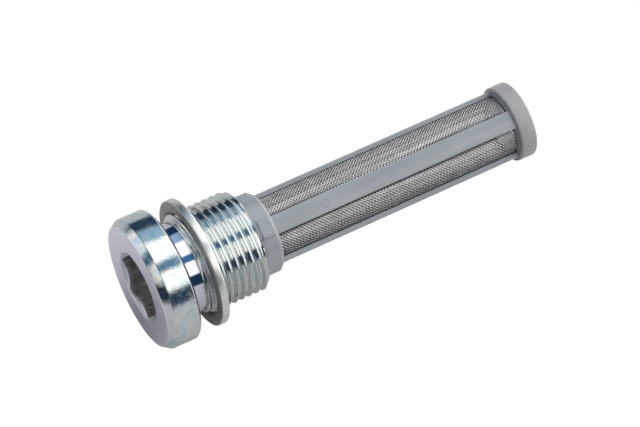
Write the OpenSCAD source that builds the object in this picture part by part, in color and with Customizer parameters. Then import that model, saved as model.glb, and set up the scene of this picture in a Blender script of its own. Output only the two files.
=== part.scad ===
// Strainer screw plug: a hexagon-socket screw plug with a loose sealing washer
// and a clipped-in mesh strainer. The screw axis is X. The origin is the centre
// of the sealing face under the head, +X runs towards the strainer, +Z is up.

/* [Plug head] */
// Diameter of the round head
head_d = 26; // [25:0.5:30]
// Length of the head along the axis
head_len = 6.6; // [6:0.1:9]
// Length of the bevel on the head's front edge
front_bevel_len = 1.5; // [0.5:0.1:2]
// Depth of that bevel towards the axis
front_bevel_depth = 1; // [0.4:0.1:1.5]
// Bevel on the head's rear edge
rear_bevel = 0.5; // [0.2:0.1:0.8]
// Hexagon socket across flats
socket_af = 12; // [10:1:12]
// Depth of the hexagon socket
socket_depth = 7; // [5:0.5:7.5]
// Diameter of the countersink round the socket
countersink_d = 14.4; // [14:0.1:16]

/* [Thread] */
// Major diameter of the thread
thread_d = 20; // [20:0.5:22]
// Thread pitch
thread_pitch = 1.5; // [1.5:0.5:1.5]
// Diameter of the plain neck between head and thread
neck_d = 17.8; // [17.4:0.1:18]
// Length of the plain neck
neck_len = 3.1; // [2.5:0.1:3.4]
// Length of the shank from the sealing face to its end
shank_len = 16.6; // [15.8:0.1:20]
// Length of the bevel at the shank's end
tip_bevel_len = 1.1; // [0.5:0.1:1.4]
// Diameter of the shank's end face
tip_d = 17; // [16.6:0.1:18]

/* [Sealing washer] */
// Outer diameter of the washer
washer_d = 25.2; // [24:0.2:26]
// Hole in the washer
washer_bore_d = 20.6; // [20.4:0.1:21]
// Thickness of the washer
washer_t = 1.5; // [1:0.1:2]
// Free space between the head and the washer where it hangs
washer_gap = 4.45; // [0.1:0.05:4.5]

/* [Strainer] */
// Diameter of the collar next to the shank
collar_d = 15.3; // [15:0.1:16]
// Length of the collar
collar_len = 3.6; // [2.5:0.1:5]
// Diameter over the ribs
cage_d = 13.7; // [13.4:0.1:14]
// Number of ribs
rib_count = 4; // [3:1:6]
// Width of a rib
rib_w = 3.6; // [2:0.1:5]
// Distance from the sealing face to the strainer's open end
end_x = 75.2; // [60:0.5:90]
// Inner diameter of the open end
outlet_d = 10; // [8:0.5:10]

/* [End seal] */
// Outer diameter of the end seal
seal_d = 15; // [14.6:0.1:15.4]
// Width of the end seal
seal_w = 3.4; // [2.5:0.1:4]

/* [Hidden] */
$fn = 96;
SMALL = 0.01;
EDGE_STEPS = 6;        // segments in a rounded edge

// thread profile, drawn as equal rings: 60 degree flanks, flat crest and root
crest_flat = thread_pitch / 8;
root_flat = thread_pitch / 4;
flank_len = (thread_pitch - crest_flat - root_flat) / 2;
thread_r = thread_d / 2;
root_r = thread_r - flank_len / tan(30);
first_crest_x = 3.9;
lead_crests = 2;       // the first crests are rolled slightly low
lead_drop = 0.17;
crest_count = floor((shank_len - first_crest_x) / thread_pitch) + 1;

// blind bore for the strainer's clip
neck_r = neck_d / 2;
clip_r = 6.6;
clip_play = 0.05;
bore_r = clip_r + clip_play;
bore_bottom_x = 6.6;
groove_r = 7.3;
groove_x = 8.6;
groove_len = 1.8;
clip_end_x = 7.4;
bead_r = 6.95;
bead_len = 1.2;
bead_bevel = 0.35;
bead_x = groove_x + (groove_len - bead_len) / 2;
clip_inner_r = 5.3;
clip_slot_w = 1.4;
clip_slot_end_x = 13.4;

// strainer
shank_gap = 0.1;       // end play between shank and collar
collar_x = shank_len + shank_gap;
collar_end_x = collar_x + collar_len;
collar_edge = 0.7;
collar_front_edge = 0.25;
cage_r = cage_d / 2;
rib_turn = 28;         // where the ribs stand round the axis at rest
rib_inner_r = 5.4;
rib_inner_w = 2.6;
rib_root = 0.3;        // length of a rib inside the collar and the hoop
mesh_r = 6.15;         // outer radius of the mesh sleeve
mesh_t = 0.3;
mesh_hold = 0.7;       // length moulded into the plastic at each end
seal_x = end_x - seal_w;
hoop_x = seal_x - 0.3;
hoop_end_x = end_x - 0.2;
hoop_seat_r = 6.6;
seal_edge = 0.8;
mesh_x = collar_end_x - mesh_hold;
mesh_end_x = hoop_x + mesh_hold - 0.2;

// points of a quarter-round edge about [r, x], from angle a to angle b
function rounded(r, x, radius, a, b) =
    [for (i = [0 : EDGE_STEPS])
        let (t = a + (b - a) * i / EDGE_STEPS)
        [r + radius * cos(t), x + radius * sin(t)]];

// crest radius of ring number k
function crest_r(k) = k < lead_crests ? thread_r - lead_drop : thread_r;

// turns an outline of [radius, x] points round the screw axis
module turned(outline) {
    rotate([0, 90, 0])
        rotate_extrude()
            polygon(outline);
}

// a straight round bar on the screw axis
module bar(r, x0, x1) {
    translate([x0, 0, 0])
        rotate([0, 90, 0])
            cylinder(r = r, h = x1 - x0);
}

// a round tube on the screw axis
module tube(inner_r, outer_r, x0, x1) {
    difference() {
        bar(outer_r, x0, x1);
        bar(inner_r, x0 - 1, x1 + 1);
    }
}

module head() {
    r = head_d / 2;
    turned([
        [0, -head_len],
        [r - front_bevel_depth, -head_len],
        [r, -head_len + front_bevel_len],
        [r, -rear_bevel],
        [r - rear_bevel, 0],
        [0, 0]
    ]);
}

// root cylinder with one ring for each turn of the thread
module thread_rings() {
    half_root = crest_flat / 2 + flank_len;
    turned(concat(
        [[0, -1], [neck_r, -1], [neck_r, neck_len], [root_r, neck_len]],
        [for (k = [0 : crest_count - 1])
            let (x = first_crest_x + k * thread_pitch)
            each [
                [root_r, x - half_root + SMALL],
                [crest_r(k), x - crest_flat / 2],
                [crest_r(k), x + crest_flat / 2],
                [root_r, x + half_root - SMALL]
            ]],
        [[root_r, shank_len + 2], [0, shank_len + 2]]
    ));
}

// outer limit of the shank, with the bevel at its end
module shank_envelope() {
    r = thread_r + 1;
    bevel_x = shank_len - tip_bevel_len;
    turned([
        [0, -0.5],
        [r, -0.5],
        [r, bevel_x - tip_bevel_len / (thread_r - tip_d / 2)],
        [thread_r, bevel_x],
        [tip_d / 2, shank_len],
        [0, shank_len]
    ]);
}

module hex_socket() {
    corner_r = socket_af / sqrt(3);
    bottom_x = -head_len + socket_depth;
    translate([-head_len - 1, 0, 0])
        rotate([0, 90, 0])
            rotate([0, 0, 30])
                cylinder(r = corner_r, h = socket_depth + 1, $fn = 6);
    // drill point below the socket
    turned([[0, bottom_x - 1], [4.5, bottom_x - 1], [4.5, bottom_x], [0, bottom_x + 1.6]]);
    // countersink with a 120 degree opening
    turned([
        [0, -head_len - 1],
        [countersink_d / 2 + tan(60), -head_len - 1],
        [0, -head_len + countersink_d / 2 / tan(60)]
    ]);
}

module clip_bore() {
    bar(bore_r, bore_bottom_x, shank_len + 1);
    bar(groove_r, groove_x, groove_x + groove_len);
    // lead-in at the mouth
    turned([
        [0, shank_len - 0.4],
        [bore_r, shank_len - 0.4],
        [bore_r + 0.4 + 1, shank_len + 1],
        [0, shank_len + 1]
    ]);
}

module screw_plug() {
    color("lightsteelblue")
        difference() {
            union() {
                head();
                intersection() {
                    thread_rings();
                    shank_envelope();
                }
            }
            hex_socket();
            clip_bore();
        }
}

module sealing_washer() {
    r_in = washer_bore_d / 2;
    r_out = washer_d / 2;
    edge = 0.15;
    color("silver")
        turned([
            [r_in, washer_gap + edge],
            [r_in + edge, washer_gap],
            [r_out - edge, washer_gap],
            [r_out, washer_gap + edge],
            [r_out, washer_gap + washer_t - edge],
            [r_out - edge, washer_gap + washer_t],
            [r_in + edge, washer_gap + washer_t],
            [r_in, washer_gap + washer_t - edge]
        ]);
}

// collar and the clip that enters the plug
module collar_and_clip() {
    r = collar_d / 2;
    turned(concat(
        [
            [clip_inner_r, clip_end_x],
            [clip_r - 0.3, clip_end_x],
            [clip_r, clip_end_x + 0.3],
            [clip_r, bead_x],
            [bead_r, bead_x + bead_bevel],
            [bead_r, bead_x + bead_len - bead_bevel],
            [clip_r, bead_x + bead_len],
            [clip_r, collar_x],
            [r - collar_front_edge, collar_x],
            [r, collar_x + collar_front_edge]
        ],
        rounded(r - collar_edge, collar_end_x - collar_edge, collar_edge, 0, 90),
        [[clip_inner_r, collar_end_x]]
    ));
}

// slots that make the clip springy
module clip_slots() {
    for (a = [45, 135])
        rotate([a, 0, 0])
            translate([clip_end_x - 1, -groove_r, -clip_slot_w / 2])
                cube([clip_slot_end_x - clip_end_x + 1, 2 * groove_r, clip_slot_w]);
}

// part of a round tube that is w wide, standing up along +Z
module strip(inner_r, outer_r, w, x0, x1) {
    intersection() {
        tube(inner_r, outer_r, x0, x1);
        translate([x0 - 1, -w / 2, 0])
            cube([x1 - x0 + 2, w, outer_r + 1]);
    }
}

// one rib: a wide outer strip over the mesh and a narrower strip inside it
module rib() {
    x0 = collar_end_x - rib_root;
    x1 = hoop_x + rib_root;
    mid_r = mesh_r - mesh_t / 2;
    strip(mid_r, cage_r, rib_w, x0, x1);
    strip(rib_inner_r, mid_r, rib_inner_w, x0, x1);
}

// end hoop that carries the seal
module hoop() {
    turned([
        [outlet_d / 2, hoop_x],
        [hoop_seat_r, hoop_x],
        [hoop_seat_r, hoop_end_x],
        [outlet_d / 2 + 0.5, hoop_end_x],
        [outlet_d / 2, hoop_end_x - 0.5]
    ]);
}

module strainer_cage() {
    color("lightslategray")
        difference() {
            union() {
                collar_and_clip();
                hoop();
                for (k = [0 : rib_count - 1])
                    rotate([rib_turn - 90 + k * 360 / rib_count, 0, 0])
                        rib();
            }
            tube(mesh_r - mesh_t, mesh_r, mesh_x, mesh_end_x);
            clip_slots();
        }
}

module mesh_sleeve() {
    color("gainsboro")
        tube(mesh_r - mesh_t, mesh_r, mesh_x, mesh_end_x);
}

module end_seal() {
    r = seal_d / 2;
    color("darkgray")
        turned(concat(
            [[hoop_seat_r, seal_x]],
            rounded(r - seal_edge / 2, seal_x + seal_edge / 2, seal_edge / 2, -90, 0),
            rounded(r - seal_edge, end_x - seal_edge, seal_edge, 0, 90),
            [[hoop_seat_r, end_x]]
        ));
}

screw_plug();
sealing_washer();
strainer_cage();
mesh_sleeve();
end_seal();
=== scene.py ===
"""Looks of the strainer screw plug: zinc-plated head and thread, metal washer, moulded cage and woven wire.

Shapes are worked out in millimetres. x runs along the screw's axis from the sealing face under the head.
"""

import math

import bmesh
import bpy
import numpy as np
from mathutils import Matrix, Vector


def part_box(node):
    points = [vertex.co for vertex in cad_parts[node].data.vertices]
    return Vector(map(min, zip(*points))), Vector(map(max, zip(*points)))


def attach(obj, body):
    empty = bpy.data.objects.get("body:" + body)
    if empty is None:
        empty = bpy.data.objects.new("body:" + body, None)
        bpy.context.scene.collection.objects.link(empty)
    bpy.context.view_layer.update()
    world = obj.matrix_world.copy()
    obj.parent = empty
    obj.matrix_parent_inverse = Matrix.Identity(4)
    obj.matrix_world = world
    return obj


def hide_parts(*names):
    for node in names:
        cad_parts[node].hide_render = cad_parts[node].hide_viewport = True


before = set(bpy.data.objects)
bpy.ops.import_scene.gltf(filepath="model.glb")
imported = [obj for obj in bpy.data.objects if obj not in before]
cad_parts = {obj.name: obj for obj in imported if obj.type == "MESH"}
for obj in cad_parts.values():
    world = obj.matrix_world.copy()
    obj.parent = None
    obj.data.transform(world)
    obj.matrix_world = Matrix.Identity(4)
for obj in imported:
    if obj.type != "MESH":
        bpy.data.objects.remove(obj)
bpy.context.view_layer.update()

MM = 0.001
SECTORS = 240


def box_mm(node):
    """The lowest and highest corner of a CAD node, in millimetres."""
    return [[round(value / MM, 3) for value in corner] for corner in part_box(node)]


plug_low, plug_high = box_mm("screw_plug")
washer_low, washer_high = box_mm("sealing_washer")
seal_low, seal_high = box_mm("end_seal")
sleeve_low, sleeve_high = box_mm("mesh_sleeve")

# ---------------------------------------------------------------- sizes in millimetres
# head
HEAD_T, HEAD_R = -plug_low[0], plug_high[2]
BEVEL_X, BEVEL_R, REAR_BEVEL = 1.5, 1.0, 0.5
# hexagon socket, its countersink and the drill point at its floor
FLATS, SOCKET_DEPTH = 12.0, 7.0
CORNER_R, CORNER_EASE = 6.86, 0.25
SINK_R, SINK_ANGLE = 7.2, 30
DRILL_R, DRILL_DEPTH = 4.5, 1.6
# neck and thread
NECK_R, NECK_END, NECK_FILLET = 8.9, 3.1, 0.8
PITCH, CREST_R, ROOT_R = 1.5, 10.0, 9.188
FIRST_CREST, HALF_CREST, FLANK, FLANK_EASE = 3.9, 0.07, 0.52, 0.15
RUN_IN_SLOPE = 1.15
TIP_X, TIP_BEVEL, TIP_R = plug_high[0], 1.1, 8.5
# blind bore that holds the strainer's clip, and its snap groove
BORE_R, BORE_X, BORE_BEVEL = 6.65, 6.6, 0.4
GROOVE_R, GROOVE_X0, GROOVE_X1, GROOVE_SLOPE = 7.3, 9.0, 10.0, 0.4
# washer and end ring
WASHER_R, WASHER_BORE_R = washer_high[2], 10.3
SEAL_R, SEAL_BORE_R = 7.5, 6.6
# woven wire, in the middle of the sleeve's wall and just short of its ends; a wire has four sides, and its
# corners lie a little outside its radius
WIRES, WIRE_R, WIRE_CORNER = 56, 0.098, 1.12
SLEEVE_R, SLEEVE_SHORT = 6.0, 0.1
SLEEVE_X0, SLEEVE_X1 = sleeve_low[0] + SLEEVE_SHORT, sleeve_high[0] - SLEEVE_SHORT
# how far a wire rises and falls from one crossing to the next, and how far one set stands out in a window
WAVE, LEAN = 0.03, 0.07
# cage: ribs, which lie RIB_TURNS degrees round the axis, collar, pads over the collar and small moulded ring
RIB_R, RIB_W, COLLAR_R = 6.85, 3.6, 7.65
RIB_TURNS = [28 + 90 * k for k in range(4)]
PAD_X, PAD_LENGTH, PAD_HALF, PAD_RISE = 16.85, 3.3, RIB_W / 2 + 0.3, 0.34
MARK_X, MARK_R, MARK_HALF, MARK_RISE = 31.2, 0.78, 0.09, 0.055


# ---------------------------------------------------------------- camera
def add_camera():
    eye = Vector((-0.17344, -0.33050, 0.57244))
    look = Vector((0.29594, 0.47603, -0.82814)).normalized()
    side = look.cross(Vector((0.38915, 0.73168, 0.55965))).normalized()
    data = bpy.data.cameras.new("camera")
    data.lens = 207.5
    data.sensor_width = 36.0
    data.clip_start = 0.05
    data.clip_end = 20.0
    camera = bpy.data.objects.new("camera", data)
    bpy.context.scene.collection.objects.link(camera)
    axes = Matrix((side, side.cross(look), -look)).transposed()
    camera.matrix_world = Matrix.Translation(eye) @ axes.to_4x4()
    bpy.context.scene.camera = camera


# ---------------------------------------------------------------- mesh helpers
def make_object(name, verts, faces, body, replaces=(), sharp=35.0, merge=None):
    """A mesh piece from millimetre points, smooth apart from its sharp edges, that rides on a body."""
    mesh = bpy.data.meshes.new(name)
    mesh.from_pydata((np.asarray(verts, dtype=float) * MM).tolist(), [], faces)
    bm = bmesh.new()
    bm.from_mesh(mesh)
    if merge is not None:
        bmesh.ops.remove_doubles(bm, verts=bm.verts, dist=merge * MM)
    bmesh.ops.recalc_face_normals(bm, faces=bm.faces)
    bm.to_mesh(mesh)
    bm.free()
    mesh.polygons.foreach_set("use_smooth", [True] * len(mesh.polygons))
    mesh.set_sharp_from_angle(angle=math.radians(sharp))
    obj = bpy.data.objects.new(name, mesh)
    bpy.context.scene.collection.objects.link(obj)
    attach(obj, body)
    if replaces:
        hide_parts(*replaces)
    return obj


def rounded_profile(corners, steps):
    """Points of an open polyline whose corners (x, r, rounding) are rounded."""
    points = []
    for i, (x, r, rounding) in enumerate(corners):
        here = np.array((x, r), dtype=float)
        if rounding <= 0 or i in (0, len(corners) - 1):
            points.append(here)
            continue
        before = np.array(corners[i - 1][:2], dtype=float) - here
        after = np.array(corners[i + 1][:2], dtype=float) - here
        before_len, after_len = np.linalg.norm(before), np.linalg.norm(after)
        before, after = before / before_len, after / after_len
        half = math.acos(max(-1.0, min(1.0, float(before @ after)))) / 2
        reach = min(rounding / math.tan(half), before_len * 0.49, after_len * 0.49)
        start, end = here + before * reach, here + after * reach
        for k in range(steps + 1):
            t = k / steps
            points.append((1 - t) ** 2 * start + 2 * t * (1 - t) * here + t * t * end)
    return points


def angles():
    return np.arange(SECTORS) / SECTORS * 2 * math.pi


def ring(x, r):
    """Points round the x axis; x and r are numbers or one value per angle."""
    theta = angles()
    x = np.broadcast_to(np.asarray(x, dtype=float), theta.shape)
    return np.stack([x, r * np.cos(theta), r * np.sin(theta)], -1)


class Shell:
    """Collects rings of points and the faces between them."""

    def __init__(self):
        self.verts = []
        self.faces = []

    def add(self, points):
        start = len(self.verts)
        self.verts.extend(np.asarray(points).tolist())
        return start

    def bridge(self, a, b):
        for i in range(SECTORS):
            j = (i + 1) % SECTORS
            self.faces.append((a + i, a + j, b + j, b + i))

    def fan(self, centre, a):
        for i in range(SECTORS):
            self.faces.append((centre, a + i, a + (i + 1) % SECTORS))

    def rings(self, rows):
        """Adds rings joined to each other, and gives where the first and the last start."""
        starts = [self.add(row) for row in rows]
        for a, b in zip(starts, starts[1:]):
            self.bridge(a, b)
        return starts[0], starts[-1]


def lathe(name, corners, body, replaces, steps=4):
    """A turned ring from a closed outline of corners (x, r, rounding)."""
    first, last = corners[0], corners[-1]
    mid = ((first[0] + last[0]) / 2, (first[1] + last[1]) / 2, 0)
    profile = rounded_profile([mid, *corners, mid], steps)[:-1]
    shell = Shell()
    first, last = shell.rings([ring(x, r) for x, r in profile])
    shell.bridge(last, first)
    return make_object(name, shell.verts, shell.faces, body, replaces)


# ---------------------------------------------------------------- screw plug
def socket_rows():
    """Rings from the drill point out over the socket's floor, up its walls and over the countersink."""
    across = FLATS / 2 / np.cos(np.mod(angles(), math.pi / 3) - math.pi / 6)
    hexagon = np.minimum(across, CORNER_R + CORNER_EASE * (across - CORNER_R))
    sink = -HEAD_T + (SINK_R - hexagon) * math.tan(math.radians(SINK_ANGLE))
    floor_x = SOCKET_DEPTH - HEAD_T
    wall_x = floor_x - 0.18
    drill = [
        ring(floor_x + DRILL_DEPTH - 0.02, 0.12),
        ring(floor_x + DRILL_DEPTH / 2, DRILL_R / 2),
        ring(floor_x + 0.04, DRILL_R - 0.08),
        ring(floor_x, DRILL_R + 0.05),
    ]
    wall = [
        ring(floor_x, 5.2),
        ring(floor_x, hexagon - 0.22),
        ring(floor_x - 0.05, hexagon - 0.09),
        ring(wall_x, hexagon),
    ]
    for part in (0.25, 0.5, 0.75):
        wall.append(ring(wall_x * (1 - part) + sink * part, hexagon))
    countersink = [
        ring(sink + 0.07, hexagon),
        ring(sink + 0.02, hexagon + 0.015),
        ring(sink - 0.025, hexagon + 0.055),
        ring(-HEAD_T + 0.035, SINK_R - 0.055),
        ring(-HEAD_T + 0.008, SINK_R + 0.02),
        ring(-HEAD_T, SINK_R + 0.09),
    ]
    return drill + wall + countersink


def head_rows():
    """Rings over the head's face, bevels and rim, down its rear face and along the neck."""
    outline = rounded_profile([
        (-HEAD_T, SINK_R + 0.3, 0),
        (-HEAD_T, HEAD_R - BEVEL_R, 0.35),
        (-HEAD_T + BEVEL_X, HEAD_R, 0.35),
        (-REAR_BEVEL, HEAD_R, 0.18),
        (0, HEAD_R - REAR_BEVEL, 0.12),
        (0, NECK_R, NECK_FILLET),
        (NECK_END, NECK_R, 0),
    ], 5)
    return [ring(x, r) for x, r in outline]


def bore_rows():
    """Rings from the shank's end into the blind bore and its snap groove."""
    outline = rounded_profile([
        (TIP_X, TIP_R, 0),
        (TIP_X, BORE_R + BORE_BEVEL, 0.1),
        (TIP_X - BORE_BEVEL, BORE_R, 0.1),
        (GROOVE_X1 + GROOVE_SLOPE, BORE_R, 0.1),
        (GROOVE_X1, GROOVE_R, 0.2),
        (GROOVE_X0, GROOVE_R, 0.2),
        (GROOVE_X0 - GROOVE_SLOPE, BORE_R, 0.1),
        (BORE_X, BORE_R, 0.2),
        (BORE_X, 1.0, 0),
    ], 3)
    return [ring(x, r) for x, r in outline]


def thread_r(x, turn):
    """Radius of the thread at x, where turn is the angle as a part of one turn."""
    crests = (x - FIRST_CREST) / PITCH - turn
    off = np.abs(crests - np.round(crests)) * PITCH
    t = np.clip((off - HALF_CREST) / FLANK, 0, 1)
    eased = (1 - FLANK_EASE) * t + FLANK_EASE * t * t * (3 - 2 * t)
    run_in = NECK_R + (x - NECK_END) * RUN_IN_SLOPE
    run_out = TIP_R + (TIP_X - x) * (CREST_R - TIP_R) / TIP_BEVEL
    return np.minimum(np.minimum(CREST_R - (CREST_R - ROOT_R) * eased, run_in), run_out)


def add_thread(shell):
    """Adds the right-hand thread: a grid whose rows climb one pitch in each turn."""
    # where the rows lie round a crest, closer together at the edges of the crest and of the root
    marks = np.array([-0.75, -0.62, -0.54, -0.42, -0.3, -0.18, -0.1, -0.05,
                      0.05, 0.1, 0.18, 0.3, 0.42, 0.54, 0.62])
    per_turn = len(marks)
    levels = np.concatenate([FIRST_CREST + PITCH * k + marks for k in range(-2, 10)])
    theta = angles()
    turn = theta / (2 * math.pi)
    x = np.clip(levels[:, None] + PITCH * turn[None, :], NECK_END, TIP_X)
    r = thread_r(x, turn[None, :])
    grid = np.stack([x, r * np.cos(theta), r * np.sin(theta)], -1)
    start = shell.add(grid.reshape(-1, 3))
    for j in range(len(levels) - 1):
        for i in range(SECTORS):
            # after the last angle the grid goes on one turn further along
            near, column = (j, i + 1) if i + 1 < SECTORS else (j + per_turn, 0)
            if near + 1 >= len(levels) and column == 0:
                continue
            corners = [(j, i), (near, column), (near + 1, column), (j + 1, i)]
            spread = [x[corner] for corner in corners]
            if max(spread) - min(spread) >= 1e-9:
                shell.faces.append(tuple(start + row * SECTORS + at for row, at in corners))


def screw_plug():
    shell = Shell()
    point = shell.add([(SOCKET_DEPTH - HEAD_T + DRILL_DEPTH, 0, 0)])
    first, _ = shell.rings(socket_rows() + head_rows())
    shell.fan(point, first)
    add_thread(shell)
    _, last = shell.rings(bore_rows())
    shell.fan(shell.add([(BORE_X, 0, 0)]), last)
    return make_object("plug_body", shell.verts, shell.faces, "plug",
                       replaces=("screw_plug",), sharp=38, merge=0.0015)


# ---------------------------------------------------------------- washer and end ring
def sealing_washer():
    return lathe("washer_ring", [
        (washer_low[0], WASHER_BORE_R, 0.12),
        (washer_low[0], WASHER_R, 0.22),
        (washer_high[0], WASHER_R, 0.22),
        (washer_high[0], WASHER_BORE_R, 0.12),
    ], "washer", replaces=("sealing_washer",))


def end_seal():
    return lathe("end_ring", [
        (seal_low[0], SEAL_BORE_R, 0.1),
        (seal_low[0], SEAL_R, 0.4),
        (seal_high[0], SEAL_R, 0.8),
        (seal_high[0], SEAL_BORE_R, 0.12),
    ], "strainer", replaces=("end_seal",), steps=6)


# ---------------------------------------------------------------- woven wire
def wires(name, sign):
    """One of the two sets of wires, which lie at 45 degrees either way round the tube."""
    crossing = math.pi * SLEEVE_R / WIRES
    stations = int(round((SLEEVE_X1 - SLEEVE_X0) / crossing * 3)) + 1
    x = np.linspace(SLEEVE_X0, SLEEVE_X1, stations)
    zero = np.zeros_like(x)
    verts, faces = [], []
    for w in range(WIRES):
        turn = 2 * math.pi * w / WIRES + sign * x / SLEEVE_R
        proud = LEAN * np.sin(2 * (turn - math.radians(RIB_TURNS[1])))
        radius = SLEEVE_R + sign * (WAVE * np.cos(WIRES * x / SLEEVE_R) + proud)
        out = np.stack([zero, np.cos(turn), np.sin(turn)], -1)
        along = np.stack([zero, -np.sin(turn), np.cos(turn)], -1)
        flat = (along - sign * np.array([1.0, 0, 0])) / math.sqrt(2)
        middle = out * radius[:, None] + np.stack([x, zero, zero], -1)
        tube = [middle + WIRE_R * WIRE_CORNER * (math.cos(c) * out + math.sin(c) * flat)
                for c in np.array([0.25, 0.75, 1.25, 1.75]) * math.pi]
        verts.append(np.stack(tube, 1).reshape(-1, 3))
        start = w * 4 * stations
        for a in range(start, start + 4 * (stations - 1), 4):
            for c in range(4):
                d = (c + 1) % 4
                faces.append((a + c, a + d, a + 4 + d, a + 4 + c))
        end = start + 4 * (stations - 1)
        faces.append((start, start + 1, start + 2, start + 3))
        faces.append((end + 3, end + 2, end + 1, end))
    return make_object(name, np.concatenate(verts), faces, "strainer",
                       replaces=("mesh_sleeve",), sharp=180)


# ---------------------------------------------------------------- moulded details of the cage
def round_x(x, r, turn):
    """The point at x and radius r, turned about the x axis."""
    return x, r * math.cos(turn), r * math.sin(turn)


def pad(name, turn_deg):
    """The low round-ended pad where a rib runs over the collar; its underside lies inside the collar."""
    columns, rows = 22, 18
    sunk, under_r = 0.06, COLLAR_R - 0.2
    top, under, faces = [], [], []
    for i in range(columns + 1):
        for j in range(rows + 1):
            a, b = i / columns, j / rows * 2 - 1
            end = 1 - max(0.0, (a - 0.72) / 0.28) ** 2
            width = PAD_HALF * math.sqrt(max(end, 0.0))
            lift = (1 - abs(b) ** 5) * min(1.0, a / 0.08, (1 - a) / 0.22)
            r = COLLAR_R - sunk + (PAD_RISE + sunk) * min(1.0, lift * 1.3)
            turn = math.radians(turn_deg) + b * width / COLLAR_R
            top.append(round_x(PAD_X + a * PAD_LENGTH, r, turn))
            under.append(round_x(PAD_X + a * PAD_LENGTH, under_r, turn))
    below, stride = len(top), rows + 1
    for i in range(columns):
        for j in range(rows):
            a = i * stride + j
            quad = (a, a + 1, a + stride + 1, a + stride)
            faces += [quad, tuple(below + k for k in reversed(quad))]
    rim = list(range(rows)) + [i * stride + rows for i in range(columns)]
    rim += [columns * stride + j for j in range(rows, 0, -1)] + [i * stride for i in range(columns, 0, -1)]
    for a, b in zip(rim, rim[1:] + rim[:1]):
        faces.append((b, a, below + a, below + b))
    return make_object(name, top + under, faces, "strainer", sharp=60, merge=0.002)


def ejector_ring(name, turn_deg):
    """A faint moulded ring on a rib."""
    around, tube = 40, 8
    verts, faces = [], []
    for i in range(around):
        a = 2 * math.pi * i / around
        for j in range(tube):
            b = 2 * math.pi * j / tube
            out = MARK_R + MARK_HALF * math.cos(b)
            turn = math.radians(turn_deg) + out * math.sin(a) / RIB_R
            verts.append(round_x(MARK_X + out * math.cos(a), RIB_R + MARK_RISE * math.sin(b), turn))
            k, m = (i + 1) % around, (j + 1) % tube
            faces.append((i * tube + j, i * tube + m, k * tube + m, k * tube + j))
    return make_object(name, verts, faces, "strainer", sharp=180)


# ---------------------------------------------------------------- node helpers
class Tree:
    """A node tree, with a short method for each kind of node used here."""

    def __init__(self, node_tree):
        self.nodes, self.links = node_tree.nodes, node_tree.links

    def feed(self, socket, value):
        """Gives a socket a number, a colour or another node's output."""
        if isinstance(value, bpy.types.NodeSocket):
            self.links.new(value, socket)
        elif isinstance(value, tuple):
            socket.default_value = (*value, 1.0)
        else:
            socket.default_value = value

    def coordinates(self, stretch=(1, 1, 1)):
        place = self.nodes.new("ShaderNodeTexCoord")
        mapping = self.nodes.new("ShaderNodeMapping")
        mapping.inputs["Scale"].default_value = stretch
        self.links.new(place.outputs["Object"], mapping.inputs["Vector"])
        return mapping.outputs["Vector"]

    def xyz(self, space="Object"):
        place = self.nodes.new("ShaderNodeTexCoord")
        split = self.nodes.new("ShaderNodeSeparateXYZ")
        self.links.new(place.outputs[space], split.inputs["Vector"])
        return split.outputs

    def from_axis(self):
        """Distance from the x axis."""
        length = self.nodes.new("ShaderNodeVectorMath")
        length.operation = "LENGTH"
        self.links.new(self.coordinates((0, 1, 1)), length.inputs[0])
        return length.outputs["Value"]

    def noise(self, vector, scale, detail=3.0, rough=0.5):
        node = self.nodes.new("ShaderNodeTexNoise")
        node.inputs["Scale"].default_value = scale
        node.inputs["Detail"].default_value = detail
        node.inputs["Roughness"].default_value = rough
        self.links.new(vector, node.inputs["Vector"])
        return node.outputs["Fac"]

    def ramp(self, fac, stops):
        node = self.nodes.new("ShaderNodeValToRGB")
        ends = node.color_ramp.elements
        while len(ends) < len(stops):
            ends.new(0.5)
        for element, (at, colour) in zip(ends, stops):
            element.position = at
            element.color = (*colour, 1.0)
        self.links.new(fac, node.inputs["Fac"])
        return node.outputs["Color"]

    def span(self, value, low, high, to_low, to_high):
        """Maps low..high to to_low..to_high, and holds both ends."""
        node = self.nodes.new("ShaderNodeMapRange")
        node.inputs["From Min"].default_value = low
        node.inputs["From Max"].default_value = high
        node.inputs["To Min"].default_value = to_low
        node.inputs["To Max"].default_value = to_high
        self.links.new(value, node.inputs["Value"])
        return node.outputs["Result"]

    def maths(self, operation, a, b=0.0):
        node = self.nodes.new("ShaderNodeMath")
        node.operation = operation
        self.feed(node.inputs[0], a)
        self.feed(node.inputs[1], b)
        return node.outputs["Value"]

    def mixed(self, factor, a, b):
        """Colour a where factor is 0, and b where it is 1."""
        node = self.nodes.new("ShaderNodeMix")
        node.data_type = "RGBA"
        self.links.new(factor, node.inputs["Factor"])
        self.feed(node.inputs["A"], a)
        self.feed(node.inputs["B"], b)
        return node.outputs["Result"]

    def mixed_shader(self, factor, a, b):
        node = self.nodes.new("ShaderNodeMixShader")
        for socket, value in zip(node.inputs, (factor, a, b)):
            self.links.new(value, socket)
        return node.outputs["Shader"]

    def is_camera_ray(self):
        return self.nodes.new("ShaderNodeLightPath").outputs["Is Camera Ray"]


class Surface(Tree):
    """A material with its own shader."""

    def __init__(self, name, metallic=0.0):
        self.material = bpy.data.materials.new(name)
        self.material.use_nodes = True
        super().__init__(self.material.node_tree)
        self.shader = self.nodes["Principled BSDF"]
        self.shader.inputs["Metallic"].default_value = metallic

    def finish(self, colour, roughness):
        self.links.new(colour, self.shader.inputs["Base Color"])
        self.links.new(roughness, self.shader.inputs["Roughness"])

    def bump(self, height, distance, strength):
        node = self.nodes.new("ShaderNodeBump")
        node.inputs["Distance"].default_value = distance
        node.inputs["Strength"].default_value = strength
        self.links.new(height, node.inputs["Height"])
        self.links.new(node.outputs["Normal"], self.shader.inputs["Normal"])


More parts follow.
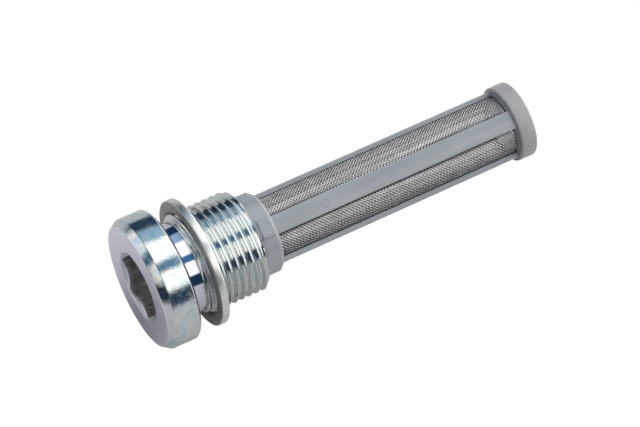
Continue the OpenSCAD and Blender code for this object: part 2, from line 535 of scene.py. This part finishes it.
# ---------------------------------------------------------------- materials
def zinc_plating():
    """Blue-white zinc: lilac on the face, mottled on the head, polished on the neck with painted shade at
    both its ends, bare in the socket.
    """
    s = Surface("zinc_plating", metallic=1.0)
    fine = s.noise(s.coordinates(), 1100.0, 4.0, 0.65)
    broad = s.noise(s.coordinates(), 620.0, 5.0, 0.62)
    x = s.xyz()["X"]
    mottle = s.ramp(broad, [(0.34, (0.40, 0.52, 0.61)), (0.48, (0.57, 0.62, 0.65)),
                            (0.60, (0.66, 0.65, 0.63)), (0.70, (0.71, 0.67, 0.60))])
    lilac = s.ramp(broad, [(0.3, (0.81, 0.77, 0.91)), (0.7, (0.89, 0.83, 0.95))])
    head = s.mixed(s.span(x, -0.00655, -0.00640, 1.0, 0.0), mottle, lilac)
    thread = s.mixed(s.span(x, 0.0030, 0.0034, 0.0, 0.65), head, (0.61, 0.64, 0.63))
    # painted shade: the neck is coloured darker at both ends, next to the head and next to the thread, where
    # the head and the washer shade it
    polish = s.maths("MULTIPLY", s.span(x, 0.0000, 0.0002, 0.0, 1.0), s.span(x, 0.0030, 0.0034, 1.0, 0.0))
    neck = s.ramp(s.span(x, 0.0, 0.0031, 0.0, 1.0),
                  [(0.0, (0.20, 0.19, 0.22)), (0.22, (0.36, 0.35, 0.42)), (0.4, (0.62, 0.62, 0.74)),
                   (0.85, (0.56, 0.56, 0.66)), (1.0, (0.34, 0.33, 0.36))])
    outside = s.mixed(polish, thread, neck)
    # inside the socket the steel is bare, with broaching lines along the axis
    deep = s.span(x, -0.0061, -0.0056, 0.0, 1.0)
    before_bore = s.span(x, 0.0025, 0.0026, 1.0, 0.0)
    near_axis = s.span(s.from_axis(), 0.00700, 0.00712, 1.0, 0.0)
    bare = s.maths("MULTIPLY", near_axis, s.maths("MULTIPLY", before_bore, deep))
    broached = s.noise(s.coordinates((0.12, 1, 1)), 1500.0, 2.0, 0.5)
    steel = s.ramp(broached, [(0.35, (0.50, 0.49, 0.49)), (0.65, (0.82, 0.80, 0.79))])
    dull = s.span(fine, 0.35, 0.7, 0.09, 0.21)
    dull = s.maths("MULTIPLY", dull, s.span(x, -0.0001, 0.0001, 1.15, 0.9))
    dull = s.maths("MULTIPLY", dull, s.span(polish, 0.0, 1.0, 1.0, 0.3))
    s.finish(s.mixed(bare, outside, steel), s.maths("ADD", dull, s.maths("MULTIPLY", bare, 0.1)))
    smooth = s.maths("MAXIMUM", polish, bare)
    height = s.maths("MULTIPLY", s.maths("ADD", fine, broad), s.span(smooth, 0.0, 1.0, 1.0, 0.12))
    s.bump(height, 0.00005, 0.42)
    return s.material


def brushed_washer():
    """Bright and brushed round the rim, matt on the faces, whose darker colour is painted shade."""
    s = Surface("washer_brushed", metallic=1.0)
    lines = s.noise(s.coordinates((30, 1, 1)), 300.0, 3.0, 0.6)
    patches = s.noise(s.coordinates(), 420.0, 4.0, 0.6)
    rim = s.ramp(patches, [(0.3, (0.62, 0.63, 0.60)), (0.7, (0.74, 0.74, 0.71))])
    # painted shade: both faces get a darker colour than the rim, standing in for the shade they lie in
    face = s.ramp(patches, [(0.3, (0.30, 0.28, 0.26)), (0.7, (0.44, 0.42, 0.40))])
    on_rim = s.span(s.from_axis(), 0.01235, 0.0125, 0.0, 1.0)
    rough = s.maths("SUBTRACT", s.span(lines, 0.3, 0.7, 0.40, 0.52), s.maths("MULTIPLY", on_rim, 0.14))
    s.finish(s.mixed(on_rim, face, rim), rough)
    s.bump(lines, 0.00003, 0.5)
    return s.material


def moulded_plastic():
    """Semi-matt blue-grey plastic with faint flow streaks along the ribs."""
    s = Surface("moulded_cage")
    grain = s.noise(s.coordinates(), 2400.0, 3.0, 0.6)
    flow = s.noise(s.coordinates((0.5, 3, 3)), 110.0, 3.0, 0.5)
    tint = s.ramp(flow, [(0.3, (0.27, 0.295, 0.318)), (0.7, (0.34, 0.368, 0.395))])
    s.finish(tint, s.span(grain, 0.3, 0.7, 0.27, 0.34))
    s.bump(grain, 0.00002, 0.12)
    return s.material


def stainless_wire():
    """Stainless steel, with painted shade where the wires go under the edges of the ribs."""
    s = Surface("stainless_wire", metallic=1.0)
    spots = s.noise(s.coordinates(), 500.0, 3.0, 0.5)
    tint = s.ramp(spots, [(0.3, (0.35, 0.34, 0.35)), (0.7, (0.50, 0.49, 0.49))])
    place = s.xyz()
    turn = s.maths("ARCTAN2", place["Z"], place["Y"])
    from_first_rib = s.maths("SUBTRACT", turn, math.radians(RIB_TURNS[0]))
    from_rib = s.maths("MULTIPLY", from_first_rib, float(len(RIB_TURNS)))
    # painted shade: the wires are made near black under each rib and in a narrow band beside its edges,
    # where the rib shades them
    rib_painted_shade = s.span(s.maths("COSINE", from_rib), 0.02, 0.22, 0.0, 0.9)
    s.finish(s.mixed(rib_painted_shade, tint, (0.06, 0.06, 0.065)), s.span(spots, 0.3, 0.7, 0.12, 0.24))
    return s.material


def grey_seal():
    """Smooth neutral grey."""
    s = Surface("grey_ring")
    grain = s.noise(s.coordinates(), 1800.0, 3.0, 0.6)
    patches = s.noise(s.coordinates(), 160.0)
    tint = s.ramp(patches, [(0.3, (0.30, 0.30, 0.305)), (0.7, (0.37, 0.37, 0.375))])
    s.finish(tint, s.span(grain, 0.3, 0.7, 0.36, 0.48))
    s.bump(grain, 0.00002, 0.3)
    return s.material


def soften_edges(obj):
    """Breaks the CAD cage's sharp edges with a narrow bevel; its own mesh stays as it is."""
    bevel = obj.modifiers.new("soft_edges", "BEVEL")
    bevel.width = 0.12 * MM
    bevel.segments = 2
    bevel.limit_method = "ANGLE"
    bevel.angle_limit = math.radians(32)


# ---------------------------------------------------------------- floor and light
def add_floor():
    """A pale floor just under the head, nearly white to the camera."""
    reach, level = 3.0, -0.0131
    mesh = bpy.data.meshes.new("floor")
    mesh.from_pydata([(-reach, -reach, level), (reach, -reach, level), (reach, reach, level),
                      (-reach, reach, level)], [], [(0, 1, 2, 3)])
    floor = bpy.data.objects.new("floor", mesh)
    bpy.context.scene.collection.objects.link(floor)
    s = Surface("pale_floor")
    s.shader.inputs["Base Color"].default_value = (0.64, 0.64, 0.64, 1)
    s.shader.inputs["Roughness"].default_value = 0.9
    lit = s.nodes.new("ShaderNodeEmission")
    lit.inputs["Color"].default_value = (1, 1, 1, 1)
    lit.inputs["Strength"].default_value = 1.08
    share = s.maths("MULTIPLY", s.is_camera_ray(), 0.93)
    shown = s.mixed_shader(share, s.shader.outputs["BSDF"], lit.outputs["Emission"])
    s.links.new(shown, s.nodes["Material Output"].inputs["Surface"])
    floor.data.materials.append(s.material)


def add_light_tent():
    """A light tent: bright panels round the screw's axis with dark gaps, and plain white to the camera."""
    world = bpy.data.worlds.new("tent")
    bpy.context.scene.world = world
    world.use_nodes = True
    s = Tree(world.node_tree)
    s.nodes.clear()
    towards = s.xyz("Generated")
    turn = s.maths("ARCTAN2", towards["Z"], towards["Y"])
    # in front of the head the panels lie further round than they do beside it
    ahead = s.span(towards["X"], -0.45, -0.05, 1.0, 0.0)
    skew = s.maths("MULTIPLY", ahead, s.span(turn, 0.0, math.pi, 0.96, 0.0))
    part = s.span(s.maths("ADD", turn, skew), -math.pi, math.pi, 0.0, 1.0)
    navy, blue, royal = (0.010, 0.028, 0.055), (0.24, 0.35, 0.44), (0.04, 0.13, 0.23)
    white, cream, grey = (1.0, 1.0, 1.0), (1.0, 0.98, 0.93), (0.48, 0.48, 0.51)
    # where each colour starts and ends, in degrees round the axis
    bands = [(-180, grey), (-6, grey), (0, navy), (27, navy), (33, blue), (56, blue), (61, white),
             (95, white), (99, royal), (113, royal), (116, cream), (146, cream), (150, navy), (174, navy),
             (179, grey)]
    panels = s.ramp(part, [((deg + 180) / 360, colour) for deg, colour in bands])
    colour = s.mixed(s.span(towards["X"], 0.42, 0.55, 0.0, 1.0), panels, white)
    # how strong the light is from each direction, from the head's side (-1) to the strainer's side (1)
    levels = [(-1.0, 0.05), (-0.90, 0.05), (-0.80, 0.38), (-0.48, 0.38), (-0.40, 0.12), (0.05, 0.12),
              (0.15, 0.58), (0.42, 0.58), (0.55, 0.85)]
    level = s.ramp(s.span(towards["X"], -1.0, 1.0, 0.0, 1.0),
                   [((at + 1) / 2, (value, value, value)) for at, value in levels])
    glow = s.nodes.new("ShaderNodeBackground")
    s.links.new(s.maths("MULTIPLY", level, 3.1), glow.inputs["Strength"])
    s.links.new(colour, glow.inputs["Color"])
    plain = s.nodes.new("ShaderNodeBackground")
    plain.inputs["Color"].default_value = (1, 1, 1, 1)
    plain.inputs["Strength"].default_value = 1.0
    shown = s.mixed_shader(s.is_camera_ray(), glow.outputs["Background"], plain.outputs["Background"])
    s.links.new(shown, s.nodes.new("ShaderNodeOutputWorld").inputs["Surface"])


# ---------------------------------------------------------------- the whole scene
add_camera()
plug = screw_plug()
washer = sealing_washer()
end_ring = end_seal()
wire_sets = [wires("woven_wire_right", 1), wires("woven_wire_left", -1)]
details = [pad(f"collar_pad_{k + 1}", turn) for k, turn in enumerate(RIB_TURNS)]
details.append(ejector_ring("moulded_ring", RIB_TURNS[1]))

plug.data.materials.append(zinc_plating())
washer.data.materials.append(brushed_washer())
end_ring.data.materials.append(grey_seal())
cage = bpy.data.objects["strainer_cage"]
cage.data.materials.clear()
soften_edges(cage)
plastic = moulded_plastic()
for piece in [cage, *details]:
    piece.data.materials.append(plastic)
steel = stainless_wire()
for piece in wire_sets:
    piece.data.materials.append(steel)

bpy.context.scene.view_settings.view_transform = "Standard"
bpy.context.scene.view_settings.look = "None"
add_floor()
add_light_tent()
